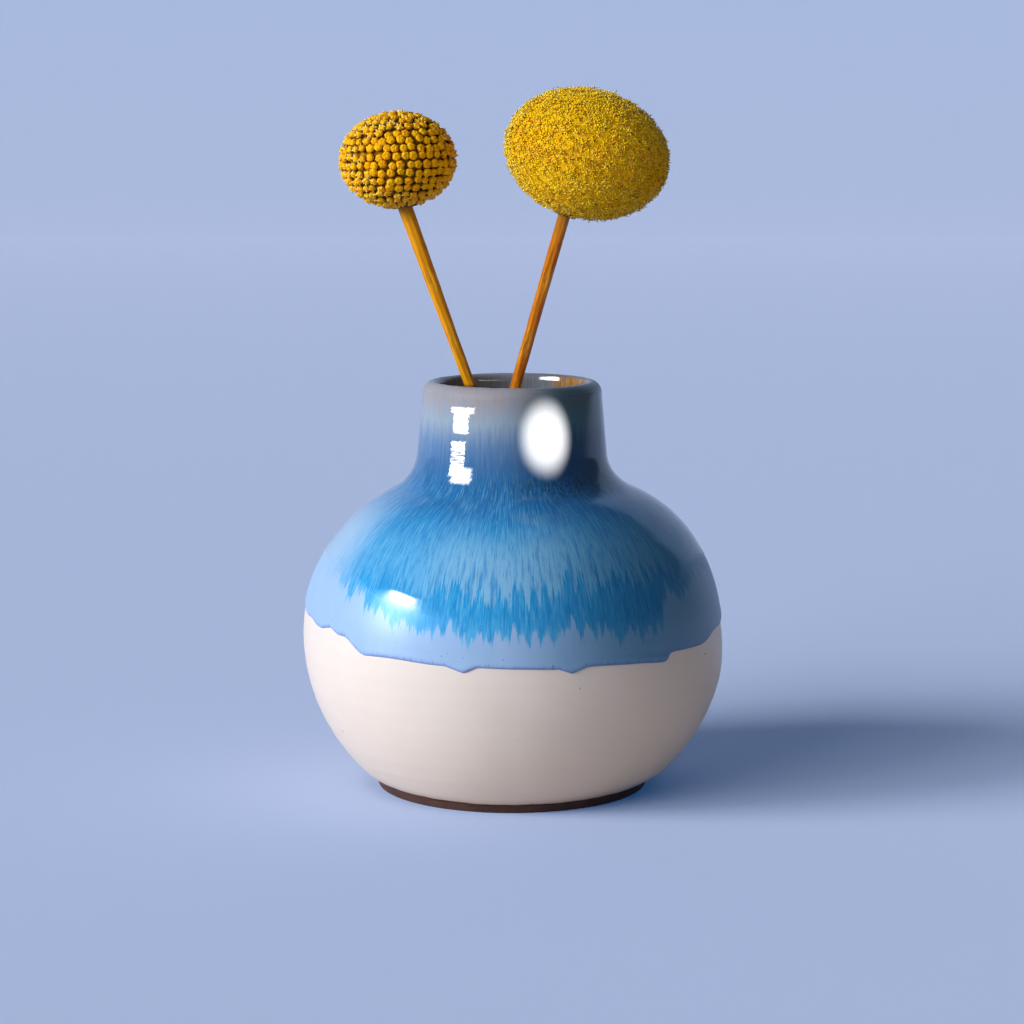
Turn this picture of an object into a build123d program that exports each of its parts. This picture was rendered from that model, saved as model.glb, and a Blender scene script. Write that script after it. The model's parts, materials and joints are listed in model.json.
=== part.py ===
"""Ceramic bud vase with two dried globe flowers standing in it.

The vase is a round-bellied stoneware pot with a short neck. It is thrown in
dark clay, lined inside with one glaze, dipped outside in a cream glaze, and
dipped again, neck first, in a blue glaze that covers the top half and folds
over the lip. A band of bare clay is left at the foot.

Each flower is a dried stem that leans in the neck, a hard receptacle at its
top, and the ball of florets that grows out of the receptacle.

Frame: millimetres, +Z up along the vase's axis, origin at the centre of the
foot's resting face. -Y is the front.
"""

import math
import os
from dataclasses import dataclass

from build123d import *

# ---- Vase, in bare clay ----
VASE_HEIGHT = 77.0
BELLY_RADIUS = 39.65
BELLY_HEIGHT = 29.4
LOWER_CURVE_RADIUS = 35.15
UPPER_CURVE_RADIUS = 30.0
SHOULDER_FILLET = 9.0
NECK_TAPER = 5.0
NECK_RADIUS = 16.5
NECK_HEIGHT = 75.3
LIP_OUTER_FILLET = 1.7
LIP_INNER_FILLET = 0.4

FLOOR_HEIGHT = 6.0
FLOOR_FILLET = 6.0

FOOT_RADIUS = 25.6
FOOT_BAND = 1.7
FOOT_EDGE_FILLET = 0.4
FOOT_RING_WIDTH = 4.4
FOOT_RECESS = 1.8
RECESS_SLOPE_RUN = 1.5
TRIM_GROOVE_RADII = (5.0, 10.0, 15.0)
TRIM_GROOVE_RADIUS = 1.0
TRIM_GROOVE_DEPTH = 0.3

# ---- Glaze coats ----
LINER_THICKNESS = 0.2
CREAM_THICKNESS = 0.2
BLUE_THICKNESS = 0.3
BLUE_LINE_HEIGHT = 30.2
BLUE_INSIDE_HEIGHT = 66.0
GLAZE_EDGE_FILLET = 0.15


# ---- Flowers, both leaning in planes parallel to XZ ----
@dataclass
class Flower:
    """A stem through the vase's mouth and the head that it carries."""

    depth: float  # Y of the whole flower
    mouth_x: float  # X of the stem's axis at the lip's height
    mouth_radius: float
    neck_radius: float  # of the stem, where it meets the head
    head_centre: tuple  # X and Z
    head_radius: float
    head_half_height: float
    head_lean: float  # degrees from upright, towards +X


LEFT = Flower(0.5, -8.0, 1.05, 1.4, (-21.4, 118.8), 11.05, 9.1, -9.0)
RIGHT = Flower(-3.0, 0.87, 1.03, 1.15, (13.9, 120.0), 15.7, 12.3, 20.0)
STEM_FLOOR_GAP = 0.3
STEM_FOOT_CHAMFER = 0.2
STEM_IN_HEAD = 3.0
RECEPTACLE_SHARE = 0.34
SHANK_WALL = 1.0

# ---- Worked out from the dimensions above ----
SECTION = Plane.XZ
OVER = 2 * VASE_HEIGHT
MIN_Y = (Align.CENTER, Align.MIN)
TAPER_SLOPE = math.tan(math.radians(NECK_TAPER))
TAPER_COS = math.cos(math.radians(NECK_TAPER))
LOWER_CENTRE = (BELLY_RADIUS - LOWER_CURVE_RADIUS, BELLY_HEIGHT)
UPPER_CENTRE = (BELLY_RADIUS - UPPER_CURVE_RADIUS, BELLY_HEIGHT)


def neck_radius(height):
    """Radius of the neck's tapering outer face at a height."""
    return NECK_RADIUS - (height - NECK_HEIGHT) * TAPER_SLOPE


# The shoulder fillet touches the upper curve and the neck's line, so its centre lies a
# fillet radius away from both.
SPREAD = UPPER_CURVE_RADIUS + SHOULDER_FILLET
LEAD = neck_radius(BELLY_HEIGHT) + SHOULDER_FILLET / TAPER_COS - UPPER_CENTRE[0]
RISE = LEAD * TAPER_SLOPE + math.sqrt((1 + TAPER_SLOPE**2) * SPREAD**2 - LEAD**2)
RISE = RISE / (1 + TAPER_SLOPE**2)
RUN = LEAD - RISE * TAPER_SLOPE
SHOULDER_CENTRE = (UPPER_CENTRE[0] + RUN, BELLY_HEIGHT + RISE)
SHOULDER_ANGLE = math.degrees(math.atan2(RISE, RUN))

LIP_OUTER_HEIGHT = VASE_HEIGHT - LIP_OUTER_FILLET
LIP_INNER_HEIGHT = VASE_HEIGHT - LIP_INNER_FILLET
CREST_RADIUS = neck_radius(LIP_OUTER_HEIGHT) - LIP_OUTER_FILLET / TAPER_COS
BORE_RADIUS = CREST_RADIUS - LIP_INNER_FILLET

# The cavity keeps the outer face's centres, and so an even wall.
INNER_TURN_RADIUS = SHOULDER_CENTRE[0] - BORE_RADIUS
INNER_UPPER_RADIUS = SPREAD - INNER_TURN_RADIUS
INNER_LOWER_RADIUS = UPPER_CENTRE[0] + INNER_UPPER_RADIUS - LOWER_CENTRE[0]
FLOOR_TURN_DROP = BELLY_HEIGHT - FLOOR_HEIGHT - FLOOR_FILLET
FLOOR_TURN_REACH = INNER_LOWER_RADIUS - FLOOR_FILLET
FLOOR_TURN_RUN = math.sqrt(FLOOR_TURN_REACH**2 - FLOOR_TURN_DROP**2)
FLOOR_TURN_CENTRE = (LOWER_CENTRE[0] + FLOOR_TURN_RUN, FLOOR_HEIGHT + FLOOR_FILLET)
FLOOR_TURN_ANGLE = math.degrees(math.atan2(FLOOR_TURN_DROP, FLOOR_TURN_RUN))

FOOT_INNER_RADIUS = FOOT_RADIUS - FOOT_RING_WIDTH
RECESS_RADIUS = FOOT_INNER_RADIUS - RECESS_SLOPE_RUN
BAND_RISE = BELLY_HEIGHT - FOOT_BAND
BAND_TOP_RADIUS = LOWER_CENTRE[0] + math.sqrt(LOWER_CURVE_RADIUS**2 - BAND_RISE**2)


def outer_shape(coat):
    """Half section of all that lies within the outer face, grown by a coat.

    Within the lip's crest it runs on upwards, for the cavity to be taken from.
    """
    base_angle = math.degrees(math.asin(BELLY_HEIGHT / (LOWER_CURVE_RADIUS + coat)))
    turn_sweep = SHOULDER_ANGLE - NECK_TAPER
    with BuildSketch() as shape:
        with BuildLine():
            lower = CenterArc(LOWER_CENTRE, LOWER_CURVE_RADIUS + coat, -base_angle, base_angle)
            CenterArc(UPPER_CENTRE, UPPER_CURVE_RADIUS + coat, 0, SHOULDER_ANGLE)
            turn = CenterArc(
                SHOULDER_CENTRE, SHOULDER_FILLET - coat, 180 + SHOULDER_ANGLE, -turn_sweep
            )
            lip = CenterArc(
                (CREST_RADIUS, LIP_OUTER_HEIGHT), LIP_OUTER_FILLET + coat, NECK_TAPER, 90 - NECK_TAPER
            )
            Line(turn @ 1, lip @ 0)
            Polyline(lip @ 1, (CREST_RADIUS, OVER), (0, OVER), (0, 0), lower @ 0)
        make_face()
    return shape.sketch


def inner_shape(coat):
    """Half section of the cavity that is left when a coat lines the clay."""
    with BuildSketch() as shape:
        with BuildLine():
            floor_turn = CenterArc(
                FLOOR_TURN_CENTRE, FLOOR_FILLET - coat, -90, 90 - FLOOR_TURN_ANGLE
            )
            CenterArc(
                LOWER_CENTRE, INNER_LOWER_RADIUS - coat, -FLOOR_TURN_ANGLE, FLOOR_TURN_ANGLE
            )
            CenterArc(UPPER_CENTRE, INNER_UPPER_RADIUS - coat, 0, SHOULDER_ANGLE)
            turn = CenterArc(
                SHOULDER_CENTRE, INNER_TURN_RADIUS + coat, 180 + SHOULDER_ANGLE, -SHOULDER_ANGLE
            )
            lip = CenterArc(
                (CREST_RADIUS, LIP_INNER_HEIGHT), LIP_INNER_FILLET + coat, 180, -90
            )
            Line(turn @ 1, lip @ 0)
            Polyline(
                lip @ 1, (CREST_RADIUS, OVER), (0, OVER), (0, FLOOR_HEIGHT + coat), floor_turn @ 0
            )
        make_face()
    return shape.sketch


clay_outside = outer_shape(0)
cream_outside = outer_shape(CREAM_THICKNESS)
blue_outside = outer_shape(CREAM_THICKNESS + BLUE_THICKNESS)
clay_inside = inner_shape(0)
liner_inside = inner_shape(LINER_THICKNESS)
blue_inside = inner_shape(LINER_THICKNESS + BLUE_THICKNESS)

# Clay: the thrown wall, the bare foot band, a trimmed recess under the base
with BuildPart() as clay_body:
    with BuildSketch(SECTION):
        add(clay_outside)
        add(clay_inside, mode=Mode.SUBTRACT)
        with Locations((0, FOOT_BAND)):
            Rectangle(OVER, OVER, align=MIN_Y, mode=Mode.INTERSECT)
        with BuildLine():
            Polyline((0, 0), (FOOT_RADIUS, 0), (BAND_TOP_RADIUS, FOOT_BAND), (0, FOOT_BAND), close=True)
        make_face()
        with BuildLine():
            Polyline(
                (0, 0), (FOOT_INNER_RADIUS, 0), (RECESS_RADIUS, FOOT_RECESS), (0, FOOT_RECESS), close=True
            )
        make_face(mode=Mode.SUBTRACT)
        with Locations(
            [(r, FOOT_RECESS + TRIM_GROOVE_DEPTH - TRIM_GROOVE_RADIUS) for r in TRIM_GROOVE_RADII]
        ):
            Circle(TRIM_GROOVE_RADIUS, mode=Mode.SUBTRACT)
        fillet(vertices().group_by(Axis.Y)[0], FOOT_EDGE_FILLET)
    revolve(axis=Axis.Z)

# Cream glaze: the whole outside from the foot band to the lip's crest
with BuildPart() as cream_glaze:
    with BuildSketch(SECTION):
        add(cream_outside)
        add(clay_outside, mode=Mode.SUBTRACT)
        with Locations((0, FOOT_BAND)):
            Rectangle(OVER, OVER, align=MIN_Y, mode=Mode.INTERSECT)
        fillet(vertices().group_by(Axis.Y)[0].sort_by(Axis.X)[-1], GLAZE_EDGE_FILLET)
    revolve(axis=Axis.Z)

# Liner glaze: the whole inside, up to the lip's crest
with BuildPart() as liner_glaze:
    with BuildSketch(SECTION):
        add(clay_inside)
        add(liner_inside, mode=Mode.SUBTRACT)
    revolve(axis=Axis.Z)

# Blue glaze: over the cream above the dip line, and over the lip down inside the neck
with BuildPart() as blue_glaze:
    with BuildSketch(SECTION):
        add(blue_outside)
        add(cream_outside, mode=Mode.SUBTRACT)
        with Locations((0, BLUE_LINE_HEIGHT)):
            Rectangle(OVER, OVER, align=MIN_Y, mode=Mode.INTERSECT)
        fillet(vertices().group_by(Axis.Y)[0].sort_by(Axis.X)[-1], GLAZE_EDGE_FILLET)
    with BuildSketch(SECTION):
        add(liner_inside)
        add(blue_inside, mode=Mode.SUBTRACT)
        with Locations((0, BLUE_INSIDE_HEIGHT)):
            Rectangle(OVER, OVER, align=MIN_Y, mode=Mode.INTERSECT)
        fillet(vertices().group_by(Axis.Y)[0].sort_by(Axis.X)[0], GLAZE_EDGE_FILLET)
    revolve(axis=Axis.Z)


def leaning_plane(x, y, z, lean):
    """Section plane whose local Y leans from upright by an angle towards +X."""
    tilt = math.radians(lean)
    return Plane((x, y, z), x_dir=(math.cos(tilt), 0, -math.sin(tilt)), z_dir=(0, -1, 0))


def head_plane(flower):
    """Section plane at the head's centre, with the head's axis as local Y."""
    x, z = flower.head_centre
    return leaning_plane(x, flower.depth, z, flower.head_lean)


def make_stem(flower):
    """Tapering stem from just over the vase's floor, up through the mouth, into the head."""
    tilt = math.radians(flower.head_lean)
    pole_x = flower.head_centre[0] - flower.head_half_height * math.sin(tilt)
    pole_z = flower.head_centre[1] - flower.head_half_height * math.cos(tilt)
    lean = math.atan2(pole_x - flower.mouth_x, pole_z - VASE_HEIGHT)
    floor = FLOOR_HEIGHT + LINER_THICKNESS + STEM_FLOOR_GAP
    foot_z = floor + flower.mouth_radius * abs(math.sin(lean))
    foot_x = flower.mouth_x - (VASE_HEIGHT - foot_z) * math.tan(lean)
    mouth_along = (VASE_HEIGHT - foot_z) / math.cos(lean)
    pole_along = (pole_z - foot_z) / math.cos(lean)
    plane = leaning_plane(foot_x, flower.depth, foot_z, math.degrees(lean))
    with BuildPart() as stem:
        with BuildSketch(plane):
            with BuildLine():
                Polyline(
                    (0, 0),
                    (flower.mouth_radius, 0),
                    (flower.mouth_radius, mouth_along),
                    (flower.neck_radius, pole_along),
                    (flower.neck_radius, pole_along + STEM_IN_HEAD),
                    (0, pole_along + STEM_IN_HEAD),
                    close=True,
                )
            make_face()
            chamfer(vertices().group_by(Axis.Y)[0].sort_by(Axis.X)[-1], STEM_FOOT_CHAMFER)
        revolve(axis=Axis(plane.origin, plane.y_dir))
    return stem


def head_shape(flower):
    """Half section of the head: a round shoulder all about, between two flatter caps."""
    side_radius = flower.head_half_height**2 / flower.head_radius
    side_run = flower.head_radius - side_radius
    squash = flower.head_half_height - side_radius
    cap_radius = side_radius + (side_run**2 + squash**2) / (2 * squash)
    cap_drop = cap_radius - flower.head_half_height
    side_angle = math.degrees(math.atan2(cap_drop, side_run))
    with BuildSketch() as shape:
        with BuildLine():
            bottom = CenterArc((0, cap_drop), cap_radius, -90, 90 - side_angle)
            CenterArc((side_run, 0), side_radius, -side_angle, 2 * side_angle)
            top = CenterArc((0, -cap_drop), cap_radius, side_angle, 90 - side_angle)
            Line(top @ 1, bottom @ 0)
        make_face()
    return shape.sketch


def receptacle_shape(flower):
    """Half section of the head's round core and of the shank below it."""
    head = head_shape(flower)
    shank_radius = flower.neck_radius + SHANK_WALL
    with BuildSketch() as shape:
        Circle(RECEPTACLE_SHARE * flower.head_radius)
        with Locations((0, -flower.head_half_height)):
            Rectangle(2 * shank_radius, flower.head_half_height, align=MIN_Y)
        add(head, mode=Mode.INTERSECT)
    return shape.sketch


def make_receptacle(flower, stem):
    """Round core of the head, on a short shank that holds the stem's end."""
    plane = head_plane(flower)
    shape = receptacle_shape(flower)
    with BuildPart() as receptacle:
        with BuildSketch(plane):
            add(shape)
        revolve(axis=Axis(plane.origin, plane.y_dir))
        add(stem.part, mode=Mode.SUBTRACT)
    return receptacle


def make_florets(flower):
    """Flattened ball of florets around the receptacle."""
    plane = head_plane(flower)
    head = head_shape(flower)
    core = receptacle_shape(flower)
    with BuildPart() as florets:
        with BuildSketch(plane):
            add(head)
            add(core, mode=Mode.SUBTRACT)
        revolve(axis=Axis(plane.origin, plane.y_dir))
    return florets


left_stem = make_stem(LEFT)
left_receptacle = make_receptacle(LEFT, left_stem)
left_florets = make_florets(LEFT)
right_stem = make_stem(RIGHT)
right_receptacle = make_receptacle(RIGHT, right_stem)
right_florets = make_florets(RIGHT)

PIECES = {
    "clay_body": clay_body,
    "cream_glaze": cream_glaze,
    "liner_glaze": liner_glaze,
    "blue_glaze": blue_glaze,
    "left_stem": left_stem,
    "left_receptacle": left_receptacle,
    "left_florets": left_florets,
    "right_stem": right_stem,
    "right_receptacle": right_receptacle,
    "right_florets": right_florets,
}

os.makedirs("parts", exist_ok=True)
for name, piece in PIECES.items():
    piece.part.label = name
    export_step(piece.part, f"parts/{name}.step")
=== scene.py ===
"""Looks of the ceramic bud vase and its two dried globe flowers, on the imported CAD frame.

Metres, +Z up along the vase's axis, -Y to the front. Angles round the vase are
measured from the front, positive towards +X.
"""

import json
import math
from collections import namedtuple

import bpy
import numpy as np
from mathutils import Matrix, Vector


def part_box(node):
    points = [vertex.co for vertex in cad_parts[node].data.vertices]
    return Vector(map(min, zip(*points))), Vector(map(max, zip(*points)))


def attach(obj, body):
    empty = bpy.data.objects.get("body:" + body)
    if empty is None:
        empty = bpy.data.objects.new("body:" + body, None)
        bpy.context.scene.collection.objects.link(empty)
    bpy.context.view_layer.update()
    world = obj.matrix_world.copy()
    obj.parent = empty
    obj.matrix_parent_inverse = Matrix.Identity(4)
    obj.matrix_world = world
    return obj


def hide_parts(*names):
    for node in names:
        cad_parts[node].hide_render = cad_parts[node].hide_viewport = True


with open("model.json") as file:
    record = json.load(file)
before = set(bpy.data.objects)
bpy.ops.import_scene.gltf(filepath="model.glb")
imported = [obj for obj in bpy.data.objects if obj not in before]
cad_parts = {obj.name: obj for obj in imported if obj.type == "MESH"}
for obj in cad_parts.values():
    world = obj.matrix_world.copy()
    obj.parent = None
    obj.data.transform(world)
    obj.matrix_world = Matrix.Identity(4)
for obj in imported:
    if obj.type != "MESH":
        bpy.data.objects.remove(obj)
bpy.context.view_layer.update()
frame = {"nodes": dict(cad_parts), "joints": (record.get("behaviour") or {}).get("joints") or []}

MM = 0.001

# ---- Vase outline: the CAD's own arcs, in bare clay ----
clay_low, clay_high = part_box("clay_body")
VASE_HEIGHT = clay_high.z
BELLY_RADIUS = (clay_high.x - clay_low.x) / 2
BELLY_HEIGHT = 29.4 * MM
LOWER_CURVE_RADIUS = 35.15 * MM
UPPER_CURVE_RADIUS = 30.0 * MM
SHOULDER_FILLET = 9.0 * MM
NECK_TAPER = 5.0
NECK_RADIUS = 16.5 * MM
NECK_HEIGHT = 75.3 * MM
LIP_OUTER_FILLET = 1.7 * MM
LIP_INNER_FILLET = 0.4 * MM
FOOT_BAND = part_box("cream_glaze")[0].z
CREAM_THICKNESS = 0.2 * MM
BLUE_THICKNESS = 0.3 * MM
BLUE_INSIDE_HEIGHT = 66.0 * MM
COAT_OVERLAP = 0.03 * MM

TAPER_SLOPE = math.tan(math.radians(NECK_TAPER))
TAPER_COS = math.cos(math.radians(NECK_TAPER))
LOWER_CENTRE = np.array((BELLY_RADIUS - LOWER_CURVE_RADIUS, BELLY_HEIGHT))
UPPER_CENTRE = np.array((BELLY_RADIUS - UPPER_CURVE_RADIUS, BELLY_HEIGHT))


def neck_radius(height):
    """Radius of the neck's tapering outer face at a height."""
    return NECK_RADIUS - (height - NECK_HEIGHT) * TAPER_SLOPE


SPREAD = UPPER_CURVE_RADIUS + SHOULDER_FILLET
LEAD = neck_radius(BELLY_HEIGHT) + SHOULDER_FILLET / TAPER_COS - UPPER_CENTRE[0]
RISE = LEAD * TAPER_SLOPE + math.sqrt((1 + TAPER_SLOPE**2) * SPREAD**2 - LEAD**2)
RISE = RISE / (1 + TAPER_SLOPE**2)
RUN = LEAD - RISE * TAPER_SLOPE
SHOULDER_CENTRE = UPPER_CENTRE + (RUN, RISE)
SHOULDER_ANGLE = math.degrees(math.atan2(RISE, RUN))
LIP_OUTER_CENTRE_HEIGHT = VASE_HEIGHT - LIP_OUTER_FILLET
CREST_RADIUS = neck_radius(LIP_OUTER_CENTRE_HEIGHT) - LIP_OUTER_FILLET / TAPER_COS
BORE_RADIUS = CREST_RADIUS - LIP_INNER_FILLET

ARC_STEP = 0.25 * MM


def arc(centre, radius, start, end):
    """(radius, height) points along an arc, with its angles in degrees."""
    sweep = math.radians(end - start)
    count = max(3, int(abs(sweep) * radius / ARC_STEP))
    angles = math.radians(start) + np.linspace(0, sweep, count)
    return np.column_stack((np.cos(angles), np.sin(angles))) * radius + centre


class Outline:
    """The clay's half section as a path, from below the foot band over the lip and down inside."""

    def __init__(self):
        start = -math.degrees(math.asin((BELLY_HEIGHT - FOOT_BAND) / LOWER_CURVE_RADIUS))
        lip_outer = (CREST_RADIUS, LIP_OUTER_CENTRE_HEIGHT)
        lip_inner = (CREST_RADIUS, VASE_HEIGHT - LIP_INNER_FILLET)
        stretches = [
            arc(LOWER_CENTRE, LOWER_CURVE_RADIUS, start, 0),
            arc(UPPER_CENTRE, UPPER_CURVE_RADIUS, 0, SHOULDER_ANGLE)[1:],
            arc(SHOULDER_CENTRE, SHOULDER_FILLET, 180 + SHOULDER_ANGLE, 180 + NECK_TAPER)[1:],
            arc(lip_outer, LIP_OUTER_FILLET, NECK_TAPER, 90),
            arc(lip_inner, LIP_INNER_FILLET, 90, 180)[1:],
            [(BORE_RADIUS, BLUE_INSIDE_HEIGHT)],
        ]
        self.points = np.vstack(stretches)
        steps = np.linalg.norm(np.diff(self.points, axis=0), axis=1)
        self.lengths = np.append(0, np.cumsum(steps))
        self.crest = self.lengths[np.argmax(self.points[:, 1])]
        tangents = np.gradient(self.points, self.lengths, axis=0)
        tangents /= np.linalg.norm(tangents, axis=1)[:, None]
        self.normals = np.column_stack((tangents[:, 1], -tangents[:, 0]))

    def at(self, length, offset=0.0):
        """(radius, height) at distances along the path, moved out along the normal."""
        columns = []
        for axis in (0, 1):
            base = np.interp(length, self.lengths, self.points[:, axis])
            normal = np.interp(length, self.lengths, self.normals[:, axis])
            columns.append(base + normal * offset)
        return columns

    def length_at(self, height):
        """Distance along the path at which its outer side reaches a height."""
        outside = self.lengths <= self.crest
        return np.interp(height, self.points[outside, 1], self.lengths[outside])


outline = Outline()


# ---- Mesh helpers ----
def mesh_of_faces(name, vertices, faces, sharp_caps=False):
    """A smooth mesh object in the scene; its triangles stay flat when they are sharp caps."""
    mesh = bpy.data.meshes.new(name)
    mesh.from_pydata(vertices.tolist(), [], faces)
    smooth = [len(face) == 4 or not sharp_caps for face in faces]
    mesh.polygons.foreach_set("use_smooth", smooth)
    thing = bpy.data.objects.new(name, mesh)
    bpy.context.scene.collection.objects.link(thing)
    return thing


def set_attribute(thing, name, values):
    """A float or vector attribute on the points of a mesh, for its material to read."""
    values = np.asarray(values, dtype=np.float32)
    kind, field = ("FLOAT", "value") if values.ndim == 1 else ("FLOAT_VECTOR", "vector")
    attribute = thing.data.attributes.new(name, kind, "POINT")
    attribute.data.foreach_set(field, values.ravel())


def grid_faces(rows, columns, close_rows=False):
    """Quads of a grid whose columns close on themselves."""
    i = np.arange(rows if close_rows else rows - 1)[:, None]
    j = np.arange(columns)[None, :]
    below, above = i, (i + 1) % rows
    right = (j + 1) % columns
    corners = [below * columns + j, below * columns + right, above * columns + right, above * columns + j]
    quads = np.stack([np.broadcast_to(c, (i.shape[0], columns)) for c in corners], axis=-1)
    return quads.reshape(-1, 4)


def closing_fans(bottom, top, rows, columns):
    """Triangles from two end points to a grid's first and last rows."""
    last = (rows - 1) * columns
    fans = []
    for j in range(columns):
        after = (j + 1) % columns
        fans.append((bottom, after, j))
        fans.append((top, last + j, last + after))
    return fans


def smoothstep(low, high, value):
    """Smooth 0 to 1 as the value goes from low to high."""
    t = np.clip((value - low) / (high - low), 0, 1)
    return t * t * (3 - 2 * t)


def wrapped(angle):
    """Degrees brought to between -180 and 180."""
    return (angle + 180) % 360 - 180


def ripple(angle, counts, depths, seed):
    """A smooth closed wave round the vase: a sum of sines with seeded phases."""
    phases = np.random.default_rng(seed).uniform(0, 2 * math.pi, len(counts))
    turn = np.radians(angle)
    return sum(d * np.sin(n * turn + p) for n, d, p in zip(counts, depths, phases))


# ---- Materials ----
class Shader:
    """A material's nodes, made call by call. A socket or a plain value feeds any input."""

    def __init__(self, name):
        self.material = bpy.data.materials.new(name)
        self.material.use_nodes = True
        self.tree = self.material.node_tree
        self.surface = self.tree.nodes["Principled BSDF"]

    def feed(self, socket, value):
        if isinstance(value, bpy.types.NodeSocket):
            self.tree.links.new(value, socket)
        elif socket.type == "RGBA":
            socket.default_value = (*value, 1)
        else:
            socket.default_value = value

    def node(self, kind, feeds, **settings):
        made = self.tree.nodes.new(kind)
        for key, value in settings.items():
            setattr(made, key, value)
        for socket, value in feeds.items():
            self.feed(made.inputs[socket], value)
        return made

    def attribute(self, name, vector=False):
        made = self.node("ShaderNodeAttribute", {}, attribute_name=name)
        return made.outputs["Vector" if vector else "Fac"]

    def place(self):
        return self.node("ShaderNodeTexCoord", {}).outputs["Object"]

    def parts(self, vector):
        return self.node("ShaderNodeSeparateXYZ", {0: vector}).outputs

    def ray(self, fact):
        return self.node("ShaderNodeLightPath", {}).outputs[fact]

    def scaled(self, vector, by):
        return self.node("ShaderNodeVectorMath", {0: vector, 1: by}, operation="MULTIPLY").outputs[0]

    def noise(self, vector, scale, detail, roughness):
        feeds = {"Vector": vector, "Scale": scale, "Detail": detail, "Roughness": roughness}
        return self.node("ShaderNodeTexNoise", feeds).outputs["Fac"]

    def swing(self, noise, reach):
        """A noise value moved to about zero and stretched."""
        return self.math("MULTIPLY", self.math("SUBTRACT", noise, 0.5), reach)

    def product(self, *factors):
        total = factors[0]
        for factor in factors[1:]:
            total = self.math("MULTIPLY", total, factor)
        return total

    def cells(self, vector, scale):
        feeds = {"Vector": vector, "Scale": scale}
        return self.node("ShaderNodeTexVoronoi", feeds).outputs["Distance"]

    def math(self, operation, a, b=0.0):
        return self.node("ShaderNodeMath", {0: a, 1: b}, operation=operation).outputs[0]

    def span(self, value, low, high, to_low=0.0, to_high=1.0, even=False):
        """The value's share of the way from low to high, with soft ends unless even."""
        feeds = {"Value": value, "From Min": low, "From Max": high, "To Min": to_low, "To Max": to_high}
        kind = "LINEAR" if even else "SMOOTHSTEP"
        made = self.node("ShaderNodeMapRange", feeds, interpolation_type=kind)
        return made.outputs["Result"]

    def mix(self, factor, a, b, blend="MIX"):
        feeds = {0: factor, 6: a, 7: b}
        return self.node("ShaderNodeMix", feeds, data_type="RGBA", blend_type=blend).outputs[2]

    def ramp(self, factor, stops):
        made = self.node("ShaderNodeValToRGB", {0: factor})
        elements = made.color_ramp.elements
        while len(elements) < len(stops):
            elements.new(0.5)
        for element, (position, colour) in zip(elements, stops):
            element.position = position
            element.color = (*colour, 1)
        return made.outputs["Color"]

    def bump(self, height, strength, distance, normal=None):
        feeds = {"Height": height, "Strength": strength, "Distance": distance}
        if normal is not None:
            feeds["Normal"] = normal
        return self.node("ShaderNodeBump", feeds).outputs["Normal"]

    def finish(self, **inputs):
        for name, value in inputs.items():
            self.feed(self.surface.inputs[name.replace("_", " ")], value)
        return self.material


# ---- Vase: surfaces thrown round the axis ----
COLUMNS = 540
angles = wrapped(np.arange(COLUMNS) * 360 / COLUMNS)


def hand_thrown(angle, height):
    """How far the wall leans out from the true round: fuller on the right, a slight wobble."""
    sideways = np.sin(np.radians(angle))
    up = height / MM
    below_neck = 1 - smoothstep(55, 62, up)
    shoulder = np.exp(-(((up - 53) / 10) ** 2)) * np.where(sideways > 0, 0.9, 0.25) * below_neck
    flank = smoothstep(1.9, 4.5, up) * (1 - smoothstep(20, 34, up)) * np.where(sideways > 0, 0.9, 0)
    wobble = ripple(angle, (2, 3, 5), (0.05, 0.03, 0.02), 3) * smoothstep(2, 12, up)
    return ((shoulder + flank) * sideways + wobble) * MM


def turned(length, offset, angle):
    """Points of the vase's surface at path distances, with an offset along the normal."""
    radius, height = outline.at(length, offset)
    outside = 1 - smoothstep(outline.crest - 3 * MM, outline.crest + 1 * MM, length)
    radius = radius + hand_thrown(angle, height) * outside
    turn = np.radians(angle)
    return np.stack((radius * np.sin(turn), -radius * np.cos(turn), height), axis=-1)


def flow(length, angle):
    """Coordinates in mm that run with the glaze: round at the belly's width, then along the wall."""
    turn = np.radians(angle)
    reach = BELLY_RADIUS / MM
    return np.stack((reach * np.sin(turn), -reach * np.cos(turn), length / MM), axis=-1)


def pointed(angle, centre, left, right):
    """1 at a centre angle, falling straight to 0 over its left and right widths in degrees."""
    away = wrapped(angle - centre)
    return np.clip(1 - np.where(away < 0, -away / left, away / right), 0, 1)


def glaze_line(angle):
    """Height in mm of the blue glaze's lower edge: level at the front, stepped up at the sides."""
    level = 30.2 + ripple(angle, (4, 7, 13), (0.15, 0.2, 0.12), 5)
    left_step = 2.9 * smoothstep(-41.5, -51, angle) + smoothstep(-64, -72, angle)
    left_step = left_step + 0.9 * smoothstep(-74, -84, angle)
    left_step = left_step * smoothstep(-170, -120, angle) + 0.8 * pointed(angle, -57.5, 5, 4)
    front_sag = 0.7 * smoothstep(2, 18, angle) * (1 - smoothstep(43, 46, angle))
    right_step = 0.3 * smoothstep(44, 48, angle) + 1.3 * smoothstep(60, 73, angle)
    right_step = (right_step + 1.3 * smoothstep(76, 90, angle)) * smoothstep(170, 120, angle)
    drips = 1.1 * pointed(angle, -12.5, 5, 3.5) + 0.9 * pointed(angle, 15.5, 3.5, 4)
    drips = drips + 0.6 * pointed(angle, 44.5, 9, 1.5) + 1.5 * pointed(angle, 137, 4, 9)
    drips = drips + 1.4 * pointed(angle, -112, 6, 5) + 0.9 * pointed(angle, -155, 9, 4)
    return level + left_step + right_step - front_sag - drips


def fringe_line(angle):
    """Height in mm about which the deep blue ends in hanging streaks."""
    left_rise = 7.3 * smoothstep(-12, -62, angle)
    right_rise = 5.2 * smoothstep(43, 48, angle) + 2.1 * smoothstep(52, 64, angle)
    gap = 1.6 * np.exp(-(((angle - 22) / 8) ** 2))
    return 35.2 + left_rise + right_rise + gap + ripple(angle, (5, 11), (0.4, 0.35), 8)


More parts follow.
